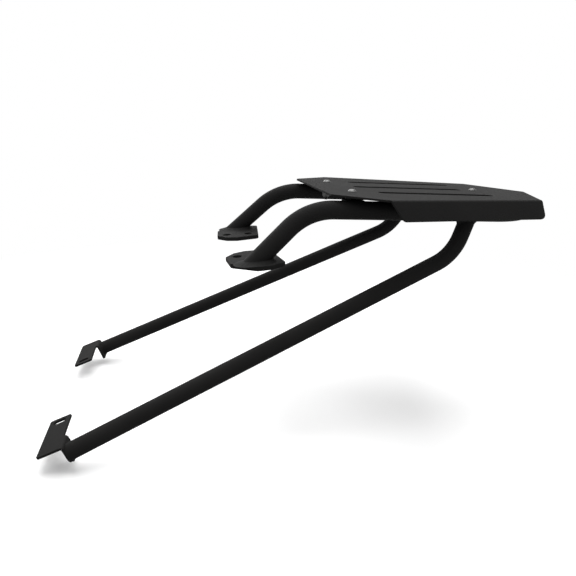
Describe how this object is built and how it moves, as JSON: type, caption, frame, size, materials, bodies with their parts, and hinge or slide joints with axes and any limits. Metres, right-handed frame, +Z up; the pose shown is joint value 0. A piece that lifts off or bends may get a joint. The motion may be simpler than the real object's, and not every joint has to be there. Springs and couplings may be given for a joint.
{
  "type": "motorcycle luggage rack",
  "caption": "Slotted sheet plate with folded side flanges, bolted on a bent tube hoop with two foot plates and two long slanted stays that end in slotted tabs.",
  "frame": {"origin": "on the top face of the plate, on the centre line, level with the plate's two widest corners", "axes": "+X to the rear of the motorcycle, +Y to its right-hand side, +Z up"},
  "size_m": [0.6433, 0.2956, 0.2976],
  "materials": {
    "powder_coat": "satin black powder coat",
    "black_steel": "black-oxidised steel, slightly glossy",
    "rubber": "matt black"
  },
  "bodies": {
    "root": {"top_plate": "powder_coat", "hoop_tube": "powder_coat", "foot_left": "powder_coat", "foot_right": "powder_coat", "stay_left": "powder_coat", "stay_right": "powder_coat", "tab_left": "powder_coat", "tab_right": "powder_coat", "lug_front_left": "powder_coat", "lug_front_right": "powder_coat", "lug_rear": "powder_coat", "bolt_front_left": "black_steel", "bolt_front_right": "black_steel", "bolt_rear": "black_steel", "spacer_front_left": "rubber", "spacer_front_right": "rubber", "spacer_rear": "rubber", "washer_front_left": "black_steel", "washer_front_right": "black_steel", "washer_rear": "black_steel", "nut_front_left": "black_steel", "nut_front_right": "black_steel", "nut_rear": "black_steel", "weld_foot_left": "powder_coat", "weld_foot_right": "powder_coat", "weld_stay_left": "powder_coat", "weld_stay_right": "powder_coat", "weld_tab_left": "powder_coat", "weld_tab_right": "powder_coat", "weld_lug_front_left": "powder_coat", "weld_lug_front_right": "powder_coat", "weld_lug_rear": "powder_coat"}
  },
  "joints": []
}
